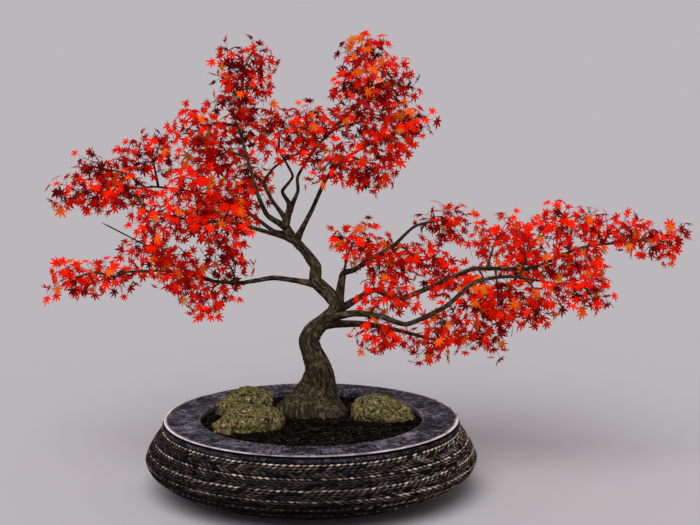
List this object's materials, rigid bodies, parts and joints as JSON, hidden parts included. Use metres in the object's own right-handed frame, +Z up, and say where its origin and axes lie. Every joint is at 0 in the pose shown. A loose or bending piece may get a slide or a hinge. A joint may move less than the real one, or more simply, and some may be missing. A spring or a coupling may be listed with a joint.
{
  "type": "japanese maple bonsai",
  "caption": "Curved-trunk maple tree with spreading limbs and red seven-lobed leaves, standing with mossy rocks in soil in a low round pot banded with twisted cord.",
  "frame": {"origin": "centre of the pot's underside", "axes": "+Z up along the pot's axis, +X along the tree's longest reach to the right, -Y to the front"},
  "size_m": [0.7919, 0.3988, 0.5306],
  "materials": {
    "pot": "dark blue-grey glaze, worn pale along the rim, bone-coloured flecks on the cords",
    "screen": "black plastic mesh",
    "soil": "damp dark granular soil",
    "mossy_rock": "rough brown stone with olive moss",
    "bark": "grey-olive furrowed bark",
    "leaves": "thin matt leaves, scarlet to maroon with some orange"
  },
  "bodies": {
    "root": {"drain_screen_left": "screen", "drain_screen_right": "screen", "pot": "pot", "rock_left_back": "mossy_rock", "rock_left_front": "mossy_rock", "rock_right": "mossy_rock", "soil": "soil", "spray_crown_gap": "leaves", "spray_heart_front": "leaves", "spray_heart_right": "leaves", "spray_left_far_tip": "leaves", "spray_left_heart": "leaves", "spray_left_high": "leaves", "spray_left_high_front": "leaves", "spray_left_high_tip": "leaves", "spray_left_mid_back": "leaves", "spray_left_mid_front": "leaves", "spray_left_mid_inner": "leaves", "spray_low_left_back": "leaves", "spray_low_left_end": "leaves", "spray_low_left_hanging": "leaves", "spray_low_left_inner": "leaves", "spray_low_left_tip": "leaves", "spray_low_left_under": "leaves", "spray_right_bottom_end": "leaves", "spray_right_bottom_front": "leaves", "spray_right_bottom_tip": "leaves", "spray_right_inner_back": "leaves", "spray_right_inner_front": "leaves", "spray_right_low_inner": "leaves", "spray_right_lower_front": "leaves", "spray_right_lower_hanging": "leaves", "spray_right_lower_inner": "leaves", "spray_right_lower_middle": "leaves", "spray_right_lower_tip": "leaves", "spray_right_middle": "leaves", "spray_right_middle_inner": "leaves", "spray_right_middle_tip": "leaves", "spray_right_rise_front": "leaves", "spray_right_rise_tip": "leaves", "spray_right_upper_back": "leaves", "spray_right_upper_far": "leaves", "spray_right_upper_front": "leaves", "spray_right_upper_side": "leaves", "spray_right_upper_tip": "leaves", "spray_top_back": "leaves", "spray_top_crown": "leaves", "spray_top_front": "leaves", "spray_top_left_crown": "leaves", "spray_top_left_front": "leaves", "spray_upper_left_back": "leaves", "spray_upper_left_front": "leaves", "spray_upper_left_middle": "leaves", "spray_upper_left_tip": "leaves", "spray_upper_right_back": "leaves", "spray_upper_right_front": "leaves", "spray_upper_right_inner": "leaves", "spray_upper_right_low": "leaves", "spray_upper_right_tip": "leaves", "trunk_and_branches": "bark"}
  },
  "joints": []
}
